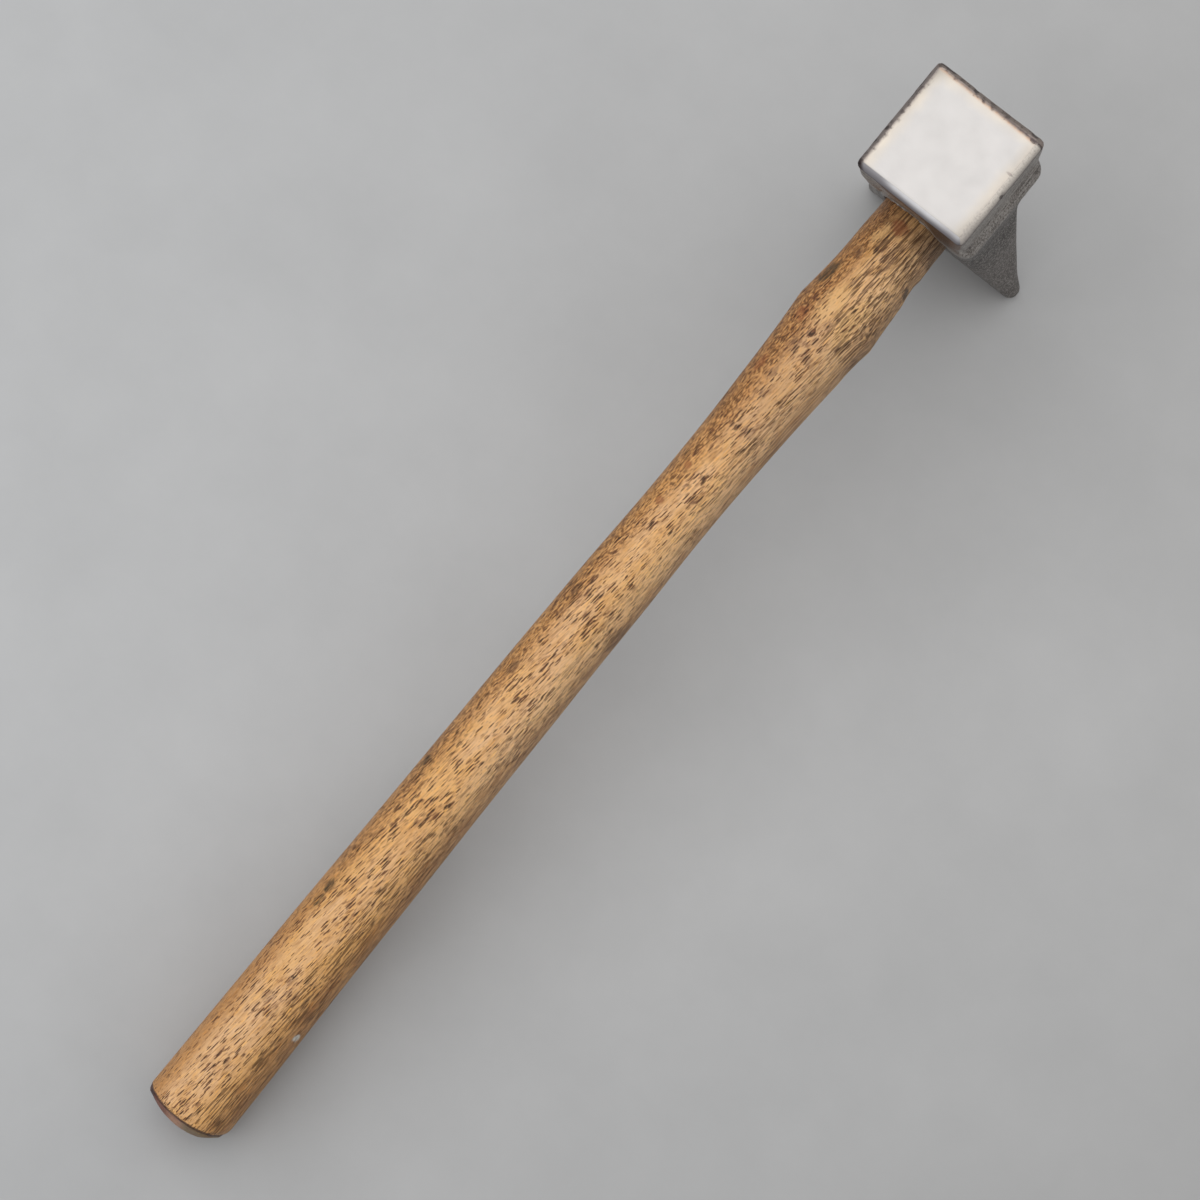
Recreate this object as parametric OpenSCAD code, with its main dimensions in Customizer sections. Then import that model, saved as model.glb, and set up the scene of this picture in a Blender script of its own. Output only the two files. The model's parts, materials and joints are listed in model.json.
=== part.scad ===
// Veneer hammer: a steel head with a square striking face and a flared cross peen,
// on an oval hardwood handle that a wooden wedge and a steel wedge hold in the eye.
// It stands as it rests on a bench, on the edge of its peen and the heel of its handle.
// Sizes are in millimetres. X runs across the handle, the handle points along -Y, and Z is up.

/* [Head] */
// Height of the head, from the edge of the peen to the striking face
head_h = 104; // [88:0.5:115]
// Width of the square block behind the striking face
block_w = 33.6; // [30:0.2:38]
// Height of that square block
block_h = 13; // [8:0.5:16]
// Width of the chamfer round the striking face
face_chamfer = 1.3; // [0.6:0.1:2.5]
// Radius of the block's corners
block_corner_r = 1.8; // [1.2:0.1:3]
// Radius of the striking face's corners, inside the chamfer
face_corner_r = 0.8; // [0.4:0.1:1.2]
// Depth where the two broad sides start to taper, below the face
taper_drop = 9; // [5:0.5:20]
// Width over the bulged cheeks of the eye
cheek_w = 38; // [33:0.2:42]
// Depth of the widest part of the cheeks, below the face
cheek_drop = 18; // [15:0.5:26]
// Radius of the corners from the cheeks down
body_corner_r = 3.6; // [2:0.1:7]
// Width of the waist between the cheeks and the peen
waist_w = 33; // [26:0.2:37]
// Depth of that waist, below the face
waist_drop = 47; // [42:0.5:58]

/* [Peen] */
// Width of the peen, measured above its rounded corners
peen_w = 50.8; // [40:0.2:80]
// Thickness of the peen's rounded edge
peen_t = 5.2; // [3:0.1:8]
// Radius of the two corners at the ends of the edge
peen_corner_r = 3.6; // [2:0.1:8]
// How slowly the flare starts: 1 is a straight flare
flare_power = 1.2; // [1:0.05:2]
// Swell of the two broad sides over a straight taper
side_belly = 0.2; // [0:0.1:1.5]

/* [Eye] */
// Depth of the eye's centre, below the face
eye_drop = 36; // [32:0.5:40]
// Width of the eye at its narrowest
eye_w = 18.9; // [16:0.1:21]
// Height of the eye at its narrowest
eye_h = 26.8; // [22:0.1:30]
// Growth of the eye on each side at the mouth that the handle enters
eye_flare_near = 0.4; // [0.1:0.05:1]
// Growth of the eye on each side at the mouth that the wedges close
eye_flare_far = 1; // [0.4:0.05:1.6]
// Gap between pieces that are driven together
fit = 0.05; // [0.02:0.01:0.15]

/* [Handle] */
// Reach of the handle, from the head's axis to the tip of the butt
handle_reach = 305.5; // [250:1:380]
// Width at the shoulder, where the handle swells before the head
shoulder_w = 22.8; // [20:0.1:27]
// Height at the shoulder
shoulder_h = 30; // [26:0.1:34]
// Distance of the shoulder from the head's axis
shoulder_at = 45; // [36:1:55]
// Width at the waist, the thinnest part of the handle
thin_w = 17.6; // [14:0.1:20]
// Height at the waist
thin_h = 24; // [20:0.1:28]
// Distance of the waist from the head's axis
thin_at = 103; // [80:1:125]
// Width where the grip begins
grip_w = 19.2; // [17:0.1:24]
// Height where the grip begins
grip_h = 27; // [22:0.1:32]
// Distance of the start of the grip from the head's axis
grip_at = 150; // [135:1:180]
// Width at the butt
butt_w = 22.6; // [19:0.1:28]
// Height at the butt
butt_h = 31; // [24:0.1:36]
// Height of the low dome that ends the butt
butt_dome = 3; // [1:0.1:6]
// Width of the worn edge round the butt
butt_edge = 1.2; // [0.5:0.1:2]
// Sideways bow of the handle at mid length
handle_bow = 0.7; // [0:0.1:2]
// Squareness of the oval: 2 is an ellipse, more is squarer
oval_power = 2.4; // [2:0.1:3]

/* [Wedges] */
// Thickness of the wooden wedge at its outer end
wood_t = 4.2; // [3:0.1:6]
// Thickness of the wooden wedge at its tip
wood_tip_t = 0.9; // [0.5:0.1:1.5]
// Length of the wooden wedge
wood_l = 22; // [17:0.5:24]
// Width of the saw cut that the wooden wedge is driven into
saw_cut_t = 0.8; // [0.5:0.1:1.2]
// Depth of the saw cut past the tip of the wooden wedge
saw_cut_past = 2.5; // [1:0.5:4]
// Width of the steel wedge, across the wooden one
steel_w = 14; // [9:0.5:16]
// Thickness of the steel wedge at its outer end
steel_t = 2.2; // [1.5:0.1:3]
// Thickness of the steel wedge at its tip
steel_tip_t = 0.5; // [0.3:0.1:0.8]
// Length of the steel wedge
steel_l = 12; // [8:0.5:14]
// How far the tenon and its wedges stand out of the eye
proud = 0.5; // [0.2:0.1:1.5]

/* [Hidden] */

// Points on the oval sections, and on each rounded corner of the head
oval_points = 40;
corner_points = 8;
// Sections of the eye on each side of the head's axis, and of the tenon's leaning end
eye_sections = 6;
lean_sections = 8;
// A corner's radius takes at most this share of the head's half thickness
corner_share = 0.9;
// Spare length of a cutting shape past the face that it cuts
past = 2;

edge_r = peen_t / 2;
taper_end = head_h - edge_r;
flare_end = head_h - peen_corner_r;
eye_z = head_h - eye_drop;
eye_top_drop = eye_drop - eye_h / 2;
eye_low_drop = eye_drop + eye_h / 2;
// The eye's mouths are measured at this distance from the head's axis
mouth_y = side_half_y(eye_drop);
eye_reach = block_w / 2 + past;
neck_w = eye_w + 2 * eye_flare_near - 2 * fit;
neck_h = eye_h + 2 * eye_flare_near - 2 * fit;
// Sections of the tenon past this lean over to the slope of its end
tenon_lean_from = mouth_y / 2;
wood_tip_y = end_y(eye_z) - wood_l;
butt_edge_at = handle_reach - butt_dome;
heel_at = butt_edge_at - butt_edge;

// The hammer leans until its heel meets the bench, turning about the centre of the rounded edge
heel_z = eye_z - handle_h(heel_at) / 2 - edge_r;
rest_tilt = acos(-edge_r / norm([heel_z, heel_at])) - atan2(heel_at, heel_z);

// Blends, with t from 0 to 1
function mix(a, b, t) = a + (b - a) * t;
function smooth(t) = t * t * (3 - 2 * t);
function share(v, from, to) = (v - from) / (to - from);

// Inset of a rounded end of radius r, at a distance of v into the rounding
function round_inset(r, v) = v <= 0 ? 0 : r - sqrt(max(0, r * r - v * v));

// Half width of the head across the handle, at a depth below the striking face
function side_half_x(drop) =
    drop < face_chamfer ? block_w / 2 - face_chamfer + drop
    : drop < block_h ? block_w / 2
    : drop < cheek_drop ? mix(block_w, cheek_w, smooth(share(drop, block_h, cheek_drop))) / 2
    : drop < waist_drop ? mix(cheek_w, waist_w, sin(90 * share(drop, cheek_drop, waist_drop))) / 2
    : drop < flare_end ? mix(waist_w, peen_w, pow(share(drop, waist_drop, flare_end), flare_power)) / 2
    : peen_w / 2 - round_inset(peen_corner_r, drop - flare_end);

// Half thickness of the head along the handle, at a depth below the striking face
function side_half_y(drop) =
    drop < face_chamfer ? block_w / 2 - face_chamfer + drop
    : drop < taper_drop ? block_w / 2
    : drop < taper_end ? let (t = share(drop, taper_drop, taper_end))
        mix(block_w / 2, edge_r, t) + side_belly * 4 * t * (1 - t)
    : edge_r - round_inset(edge_r, drop - taper_end);

// Radius of the head's four corners, which is smallest round the striking face
function corner_r(drop) =
    drop < face_chamfer ? mix(face_corner_r, block_corner_r, drop / face_chamfer)
    : drop < cheek_drop ? mix(block_corner_r, body_corner_r, share(drop, face_chamfer, cheek_drop))
    : body_corner_r;

// One rounded rectangle of the head, at a depth below the striking face
function head_ring(drop) =
    let (hx = side_half_x(drop), hy = side_half_y(drop), r = min(corner_r(drop), corner_share * hy))
    [for (corner = [0:3], i = [0:corner_points - 1])
        let (
            a = 90 * corner + 90 * i / (corner_points - 1),
            sx = corner == 0 || corner == 3 ? 1 : -1,
            sy = corner < 2 ? 1 : -1
        )
        [sx * (hx - r) + r * cos(a), sy * (hy - r) + r * sin(a), head_h - drop]];

function steps(from, to, count) = [for (i = [0:count - 1]) mix(from, to, i / count)];

// The head's sections are closest where its outline turns most
head_drops = concat(
    [0],
    steps(face_chamfer, block_h, 3),
    steps(block_h, cheek_drop, 8),
    steps(cheek_drop, waist_drop, 11),
    steps(waist_drop, flare_end, 15),
    steps(flare_end, taper_end, 3),
    [for (a = [0:10:80]) taper_end + edge_r * sin(a)],
    [taper_end + edge_r * cos(rest_tilt)]
);
head_rings = [for (i = [len(head_drops) - 1:-1:0]) head_ring(head_drops[i])];

// One oval section at y, across a handle that runs along Y
function oval(width, height, at_x, y) =
    [for (i = [0:oval_points - 1])
        let (
            a = 360 * i / oval_points,
            x = sign(cos(a)) * pow(abs(cos(a)), 2 / oval_power) * width / 2,
            z = sign(sin(a)) * pow(abs(sin(a)), 2 / oval_power) * height / 2
        )
        [at_x + x, y, eye_z + z]];

// The eye is narrowest at the head's axis and grows towards both mouths
function eye_growth(y) = 2 * (y < 0 ? eye_flare_near : eye_flare_far) * pow(y / mouth_y, 2);

function eye_ring(y, gap) = oval(eye_w + eye_growth(y) - 2 * gap, eye_h + eye_growth(y) - 2 * gap, 0, y);

function eye_rings(gap) =
    [for (i = [eye_sections:-1:-eye_sections]) eye_ring(eye_reach * i / eye_sections, gap)];

// The tenon and its wedges end on the slope of the head's far side, a little proud of it
function end_y(z) = proud + mix(side_half_y(eye_low_drop), side_half_y(eye_top_drop),
    share(head_h - z, eye_low_drop, eye_top_drop));

// Width or height of the handle outside the head, at a distance from the head's axis
function along_handle(d, at_head, at_shoulder, at_thin, at_grip, at_butt) =
    d < shoulder_at ? mix(at_head, at_shoulder, pow(share(d, mouth_y, shoulder_at), 2))
    : d < thin_at ? mix(at_thin, at_shoulder, pow(1 - share(d, shoulder_at, thin_at), 2))
    : d < grip_at ? mix(at_thin, at_grip, smooth(share(d, thin_at, grip_at)))
    : mix(at_grip, at_butt, share(d, grip_at, handle_reach));

function handle_w(d) = along_handle(d, neck_w, shoulder_w, thin_w, grip_w, butt_w);
function handle_h(d) = along_handle(d, neck_h, shoulder_h, thin_h, grip_h, butt_h);
function bow_x(d) = -handle_bow * sin(180 * share(d, mouth_y, handle_reach));

// A section outside the head, drawn in on all sides by an inset
function handle_ring(d, inset = 0) =
    oval(handle_w(d) - 2 * inset, handle_h(d) - 2 * inset, bow_x(d), -d);

// A section near the tenon's end, with t from 0 where it is upright to 1 where it has the end's slope
function leaning_ring(t) =
    [for (p = oval(eye_w, eye_h, 0, 0))
        let (
            y = mix(tenon_lean_from, end_y(p.z), t),
            growth = eye_growth(y) - 2 * fit
        )
        [p.x * (1 + growth / eye_w), y, eye_z + (p.z - eye_z) * (1 + growth / eye_h)]];

// A section of the butt's low dome, with k from 1 at its edge to 0 at its tip
function dome_ring(k) =
    oval((handle_w(heel_at) - 2 * butt_edge) * k, (handle_h(heel_at) - 2 * butt_edge) * k,
        bow_x(heel_at), -(handle_reach - butt_dome * k * k));

handle_rings = concat(
    [for (i = [lean_sections:-1:1]) leaning_ring(i / lean_sections)],
    [for (y = steps(tenon_lean_from, -mouth_y, 8)) eye_ring(y, fit)],
    [for (d = steps(mouth_y, shoulder_at, 8)) handle_ring(d)],
    [for (d = steps(shoulder_at, thin_at, 12)) handle_ring(d)],
    [for (d = steps(thin_at, grip_at, 8)) handle_ring(d)],
    [for (d = steps(grip_at, heel_at, 8)) handle_ring(d)],
    [for (a = [0:30:60]) handle_ring(heel_at + butt_edge * sin(a), butt_edge * (1 - cos(a)))],
    [for (k = [1, 0.85, 0.7, 0.5, 0.3, 0.12]) dome_ring(k)]
);

function rest_y(p) = p.y * cos(rest_tilt) - (p.z - edge_r) * sin(rest_tilt);
rest_ys = [for (rings = [head_rings, handle_rings], ring = rings, p = ring) rest_y(p)];
middle_y = (min(rest_ys) + max(rest_ys)) / 2;

// A closed skin through sections with the same number of points
module loft(rings) {
    n = len(rings[0]);
    last = (len(rings) - 1) * n;
    polyhedron(
        points = [for (ring = rings) each ring],
        faces = concat(
            [[for (i = [0:n - 1]) i]],
            [for (start = [0:n:last - n], i = [0:n - 1])
                let (a = start + i, b = start + (i + 1) % n)
                each [[a, b + n, b], [a, a + n, b + n]]],
            [[for (i = [n - 1:-1:0]) last + i]]
        )
    );
}

// Everything is drawn with the head upright on its edge, then leaned back to its heel
module at_rest() {
    translate([0, -middle_y, edge_r])
        rotate([rest_tilt, 0, 0])
            translate([0, 0, -edge_r])
                children();
}

// The side view of a wedge or its slot, from its tip to a slanted outer end
module across(width, tip_y, half_at_tip, half_at_end, over) {
    rotate([90, 0, 90])
        linear_extrude(height = width, center = true)
            polygon([
                [tip_y, eye_z - half_at_tip],
                [end_y(eye_z - half_at_end) + over, eye_z - half_at_end],
                [end_y(eye_z + half_at_end) + over, eye_z + half_at_end],
                [tip_y, eye_z + half_at_tip]
            ]);
}

// The wooden wedge's taper in plan, which is tall enough to fill the eye
module wood_taper(gap, over) {
    slope = (wood_t - wood_tip_t) / 2 / wood_l;
    outer_y = end_y(eye_z) + eye_h / 2 + over;
    half_tip = wood_tip_t / 2 + gap;
    half_outer = half_tip + slope * (outer_y - wood_tip_y);
    translate([0, 0, eye_z - eye_h])
        linear_extrude(height = 2 * eye_h)
            polygon([
                [-half_tip, wood_tip_y - gap],
                [half_tip, wood_tip_y - gap],
                [half_outer, outer_y],
                [-half_outer, outer_y]
            ]);
}

// The steel wedge's place, with a gap all round
module steel_slot() {
    across(steel_w + 2 * fit, end_y(eye_z) - steel_l - fit, steel_tip_t / 2 + fit, steel_t / 2 + fit, past);
}

module head() {
    color("dimgray")
        at_rest()
            difference() {
                loft(head_rings);
                loft(eye_rings(0));
            }
}

module handle() {
    color("peru")
        at_rest()
            difference() {
                loft(handle_rings);
                wood_taper(fit, past);
                translate([-saw_cut_t / 2, wood_tip_y - saw_cut_past, eye_z - eye_h])
                    cube([saw_cut_t, saw_cut_past + past, 2 * eye_h]);
                steel_slot();
            }
}

module wooden_wedge() {
    color("burlywood")
        at_rest()
            difference() {
                intersection() {
                    loft(eye_rings(fit));
                    wood_taper(0, 0);
                    across(eye_w, wood_tip_y, eye_h, eye_h, 0);
                }
                steel_slot();
            }
}

module steel_wedge() {
    color("gray")
        at_rest()
            across(steel_w, end_y(eye_z) - steel_l, steel_tip_t / 2, steel_t / 2, 0);
}

head();
handle();
wooden_wedge();
steel_wedge();
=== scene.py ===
"""Dresses the veneer hammer: forged steel head, worn hardwood handle and the two wedges.

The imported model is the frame. The head and the handle get finer skins, made from copies of their
solids, and every finish is worked out from the tool's own axes: millimetres, with the origin at the
middle of the striking face, x across the handle, y away from the butt and z out of the face.
"""

import json
import logging
import math
from dataclasses import dataclass
from enum import Enum
from typing import Callable, Sequence

import bpy
import numpy as np
from mathutils import Matrix, Vector, noise

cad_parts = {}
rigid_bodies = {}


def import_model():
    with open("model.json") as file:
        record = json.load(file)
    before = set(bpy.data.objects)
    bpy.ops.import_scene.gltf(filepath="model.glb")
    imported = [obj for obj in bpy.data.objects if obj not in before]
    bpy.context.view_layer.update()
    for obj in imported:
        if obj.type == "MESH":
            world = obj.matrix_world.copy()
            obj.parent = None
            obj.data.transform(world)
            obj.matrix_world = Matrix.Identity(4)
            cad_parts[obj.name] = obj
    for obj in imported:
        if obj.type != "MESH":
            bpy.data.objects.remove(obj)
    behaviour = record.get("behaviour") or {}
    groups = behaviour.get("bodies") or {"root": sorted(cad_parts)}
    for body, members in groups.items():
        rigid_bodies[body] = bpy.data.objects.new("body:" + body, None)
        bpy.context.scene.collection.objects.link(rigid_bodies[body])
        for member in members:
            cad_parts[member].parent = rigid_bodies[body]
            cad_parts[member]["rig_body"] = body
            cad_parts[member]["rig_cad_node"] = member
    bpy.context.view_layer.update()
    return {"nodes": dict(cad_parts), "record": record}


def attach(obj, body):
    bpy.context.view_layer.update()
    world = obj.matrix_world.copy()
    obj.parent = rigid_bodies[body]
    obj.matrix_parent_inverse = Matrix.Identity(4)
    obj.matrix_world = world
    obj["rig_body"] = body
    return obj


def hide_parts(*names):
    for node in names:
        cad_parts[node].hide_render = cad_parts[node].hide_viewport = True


log = logging.getLogger("veneer_hammer")
MM = 0.001
Colour = tuple[float, float, float]


def from_screen(red: int, green: int, blue: int) -> Colour:
    """Turns a colour as a screen shows it into the linear colour that a shader takes.

    Args:
        red: Red from 0 to 255.
        green: Green from 0 to 255.
        blue: Blue from 0 to 255.

    Returns:
        The linear red, green and blue, from 0 to 1.
    """
    def linear(value: int) -> float:
        """One channel of the colour, in linear light."""
        share = value / 255
        return share / 12.92 if share <= 0.04045 else ((share + 0.055) / 1.055) ** 2.4

    return linear(red), linear(green), linear(blue)


@dataclass(frozen=True)
class ToolAxes:
    """The tool's own axes, read from the striking face that the record states."""

    face_centre: Vector
    lean: float

    @classmethod
    def from_record(cls, record: dict) -> "ToolAxes":
        """Finds the axes from the mount on the striking face.

        Args:
            record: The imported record.

        Returns:
            The tool's axes in the row frame.
        """
        face = next(mount for mount in record["mounts"] if mount["name"] == "striking_face")
        return cls(Vector(face["pos_m"]), math.atan2(-face["axis"][1], face["axis"][2]))

    def to_row(self) -> Matrix:
        """The matrix from the tool's millimetres to the row frame's metres."""
        turn = Matrix.Rotation(self.lean, 4, "X")
        return Matrix.Translation(self.face_centre) @ turn @ Matrix.Scale(MM, 4)


class Graph:
    """Short calls for the nodes of one material, wired as they are made."""

    def __init__(self, name: str, axes: ToolAxes) -> None:
        """Starts an empty material with one Principled shader.

        Args:
            name: The material's name.
            axes: The axes that the patterns are measured in.
        """
        self.material = bpy.data.materials.new(name)
        self.material.use_nodes = True
        self.tree = self.material.node_tree
        self.tree.nodes.clear()
        output = self.tree.nodes.new("ShaderNodeOutputMaterial")
        self.shader = self.tree.nodes.new("ShaderNodeBsdfPrincipled")
        self.tree.links.new(self.shader.outputs[0], output.inputs[0])
        place = self.tree.nodes.new("ShaderNodeTexCoord").outputs["Object"]
        mapping = self.tree.nodes.new("ShaderNodeMapping")
        mapping.vector_type = "TEXTURE"
        self.tree.links.new(place, mapping.inputs["Vector"])
        mapping.inputs["Location"].default_value = axes.face_centre
        mapping.inputs["Rotation"].default_value = (axes.lean, 0, 0)
        mapping.inputs["Scale"].default_value = (MM, MM, MM)
        self.place = mapping.outputs[0]
        split = self.tree.nodes.new("ShaderNodeSeparateXYZ")
        self.tree.links.new(self.place, split.inputs[0])
        self.x, self.y, self.z = split.outputs

    def feed(self, socket: bpy.types.NodeSocket, value) -> None:
        """Links a socket to another node's output, or sets it to a plain value.

        Args:
            socket: The input socket.
            value: An output socket, a number or a colour.
        """
        if isinstance(value, bpy.types.NodeSocket):
            self.tree.links.new(value, socket)
        elif isinstance(value, tuple) and len(value) == 3 and socket.type == "RGBA":
            socket.default_value = (*value, 1)
        else:
            socket.default_value = value

    def calc(self, how: str, first, second=0.0, third=0.0) -> bpy.types.NodeSocket:
        """One Math node.

        Args:
            how: The operation, such as MULTIPLY.
            first: The first value or socket.
            second: The second value or socket.
            third: The third value or socket.

        Returns:
            The result's socket.
        """
        node = self.tree.nodes.new("ShaderNodeMath")
        node.operation = how
        for socket, value in zip(node.inputs, (first, second, third)):
            self.feed(socket, value)
        return node.outputs[0]

    def between(self, value, low: float, high: float) -> bpy.types.NodeSocket:
        """A soft step: 0 where the value is at low, 1 where it is at high.

        Args:
            value: The value or socket.
            low: The value that gives 0.
            high: The value that gives 1.

        Returns:
            The step's socket.
        """
        node = self.tree.nodes.new("ShaderNodeMapRange")
        node.interpolation_type = "SMOOTHSTEP"
        self.feed(node.inputs["Value"], value)
        if low < high:
            ends = (low, high, 0.0, 1.0)
        else:
            ends = (high, low, 1.0, 0.0)
        for name, end in zip(("From Min", "From Max", "To Min", "To Max"), ends):
            node.inputs[name].default_value = end
        return node.outputs["Result"]

    def stretched(self, scale: tuple, turn_deg: float = 0.0, shift: tuple = (0, 0, 0)) -> bpy.types.NodeSocket:
        """The place, divided by a length along each axis.

        Args:
            scale: The lengths, in millimetres, that become 1.
            turn_deg: A turn about z before that, in degrees.
            shift: The place, in millimetres, that becomes the origin.

        Returns:
            The vector's socket.
        """
        node = self.tree.nodes.new("ShaderNodeMapping")
        node.vector_type = "TEXTURE"
        self.feed(node.inputs["Vector"], self.place)
        node.inputs["Location"].default_value = shift
        node.inputs["Rotation"].default_value = (0, 0, math.radians(turn_deg))
        node.inputs["Scale"].default_value = scale
        return node.outputs[0]

    def noise(self, where, scale=1.0, detail=2.0, rough=0.5, warp=0.0) -> bpy.types.NodeSocket:
        """Soft noise about 0.5.

        Args:
            where: The vector's socket.
            scale: Its scale.
            detail: How many finer layers it has.
            rough: How strong those are.
            warp: How much it is distorted.

        Returns:
            The noise's socket.
        """
        node = self.tree.nodes.new("ShaderNodeTexNoise")
        self.feed(node.inputs["Vector"], where)
        for name, value in (("Scale", scale), ("Detail", detail), ("Roughness", rough), ("Distortion", warp)):
            node.inputs[name].default_value = value
        return node.outputs["Fac"]

    def cells(self, where, scale=1.0) -> tuple:
        """Scattered points.

        Args:
            where: The vector's socket.
            scale: Its scale.

        Returns:
            The sockets of the distance to the nearest point and of that point's random colour.
        """
        node = self.tree.nodes.new("ShaderNodeTexVoronoi")
        self.feed(node.inputs["Vector"], where)
        node.inputs["Scale"].default_value = scale
        return node.outputs["Distance"], node.outputs["Color"]

    def mix(self, share, first, second, blend: str = "MIX") -> bpy.types.NodeSocket:
        """Mixes two colours.

        Args:
            share: How much of the second shows.
            first: The first colour or socket.
            second: The second colour or socket.
            blend: The blend type.

        Returns:
            The colour's socket.
        """
        node = self.tree.nodes.new("ShaderNodeMix")
        node.data_type = "RGBA"
        node.blend_type = blend
        self.feed(node.inputs[0], share)
        self.feed(node.inputs[6], first)
        self.feed(node.inputs[7], second)
        return node.outputs[2]

    def dashes(self, cell: tuple, turn_deg: float, shift: tuple, reach, ragged=0.0) -> bpy.types.NodeSocket:
        """Short dark dashes, one in each cell, each with its own thickness.

        Args:
            cell: The cell's lengths, in millimetres.
            turn_deg: The dashes' turn about z, in degrees.
            shift: Where the pattern starts, in millimetres.
            reach: How thick the dashes are, as a share of the cell.
            ragged: A value or socket that roughens their ends.

        Returns:
            The mask's socket, 1 inside and 0 outside.
        """
        distance, chance = self.cells(self.stretched(cell, turn_deg, shift))
        thick = self.calc("MULTIPLY", reach, self.calc("MULTIPLY_ADD", chance, 0.8, 0.6))
        return self.between(self.calc("SUBTRACT", thick, self.calc("ADD", distance, ragged)), -0.02, 0.035)

    def spots(self, marks: Sequence["Spot"], turn_deg: float, wander) -> bpy.types.NodeSocket:
        """Soft, ragged ovals round a few places.

        Args:
            marks: The ovals.
            turn_deg: Their turn about z, in degrees.
            wander: A value or socket that makes their rims ragged, about -0.5 to 0.5.

        Returns:
            The mask's socket, 1 inside and 0 outside.
        """
        nearest = None
        for mark in marks:
            away = self.tree.nodes.new("ShaderNodeVectorMath")
            away.operation = "LENGTH"
            self.feed(away.inputs[0], self.stretched(mark.size, turn_deg, mark.centre))
            length = away.outputs["Value"]
            nearest = length if nearest is None else self.calc("MINIMUM", nearest, length)
        return self.between(self.calc("ADD", nearest, wander), 1.25, 0.7)

    def relief(self, height, distance: float, below=None) -> bpy.types.NodeSocket:
        """A Bump node.

        Args:
            height: The height's socket, about 0 to 1.
            distance: How deep 1 is, in metres.
            below: The normal of a coarser relief under it.

        Returns:
            The normal's socket.
        """
        node = self.tree.nodes.new("ShaderNodeBump")
        node.inputs["Distance"].default_value = distance
        self.feed(node.inputs["Height"], height)
        if below is not None:
            self.feed(node.inputs["Normal"], below)
        return node.outputs[0]

    def dress(self, **inputs) -> bpy.types.Material:
        """Sets the shader's inputs by name, with underscores for spaces.

        Args:
            inputs: Values or sockets.

        Returns:
            The material.
        """
        for name, value in inputs.items():
            self.feed(self.shader.inputs[name.replace("_", " ")], value)
        return self.material


@dataclass(frozen=True)
class Spot:
    """One mark: the middle and the half sizes of an oval, in the tool's millimetres."""

    centre: tuple
    size: tuple


class StainOrShadow(Enum):
    """The kinds of mark on the handle: colour and strength. All are stains but one, a painted shadow in the chip on
    the right flank.
    """

    PALE = (from_screen(228, 182, 122), 0.6)
    INK = (from_screen(92, 62, 50), 0.36)
    # Painted shadow in the chip on the right flank, not a stain.
    GAP = (from_screen(44, 30, 22), 1.0)
    OLIVE = (from_screen(70, 54, 32), 0.95)
    BROWN = (from_screen(98, 66, 42), 0.75)
    RUST = (from_screen(140, 78, 42), 0.7)
    CHALK = (from_screen(226, 226, 218), 1.0)


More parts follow.
